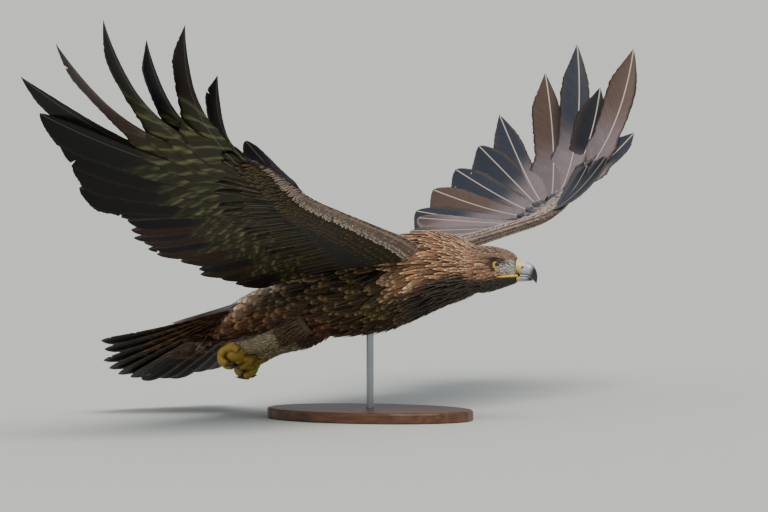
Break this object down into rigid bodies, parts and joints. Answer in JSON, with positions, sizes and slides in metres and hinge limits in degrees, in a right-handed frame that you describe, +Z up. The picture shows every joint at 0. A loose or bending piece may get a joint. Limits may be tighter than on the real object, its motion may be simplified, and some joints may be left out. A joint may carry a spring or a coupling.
{
  "type": "golden eagle model",
  "caption": "Still, life-size golden eagle in flight with raised, fanned wings, held above an oval wooden base by one steel rod.",
  "frame": {"origin": "centre of the underside of the stand's base", "axes": "+X the way the bird heads, +Y towards its left side, +Z up"},
  "size_m": [0.7598, 1.8395, 0.6852],
  "materials": {
    "body_feathers": "soft dark brown body feathers with golden-brown edges",
    "hackle_feathers": "pointed tawny gold feathers of the nape and head",
    "flight_feathers": "stiff blackish brown flight and tail feathers",
    "wing_coverts": "grey-brown wing feathers with pale edges",
    "leg_feathers": "short dirty white feathers of the legs",
    "bare_skin": "yellow waxy skin of the cere, mouth and toes",
    "horn": "smooth blue-black horn of the bill and claws",
    "eye": "polished amber glass eye with a black pupil",
    "stand_wood": "dark walnut with a satin oil finish",
    "stand_steel": "satin steel rod"
  },
  "bodies": {
    "root": {"torso": "body_feathers", "neck": "hackle_feathers", "head": "hackle_feathers", "cere": "bare_skin", "upper_bill": "horn", "lower_bill": "horn", "tail": "flight_feathers", "eye_left": "eye", "eye_right": "eye", "wing_left_upper_arm": "wing_coverts", "wing_left_forearm": "wing_coverts", "wing_left_hand": "flight_feathers", "wing_right_upper_arm": "wing_coverts", "wing_right_forearm": "wing_coverts", "wing_right_hand": "flight_feathers", "leg_left": "leg_feathers", "leg_right": "leg_feathers", "foot_left": "bare_skin", "foot_right": "bare_skin", "claw_left_1": "horn", "claw_left_2": "horn", "claw_left_3": "horn", "claw_left_4": "horn", "claw_right_1": "horn", "claw_right_2": "horn", "claw_right_3": "horn", "claw_right_4": "horn", "stand_base": "stand_wood", "stand_rod": "stand_steel"}
  },
  "joints": []
}
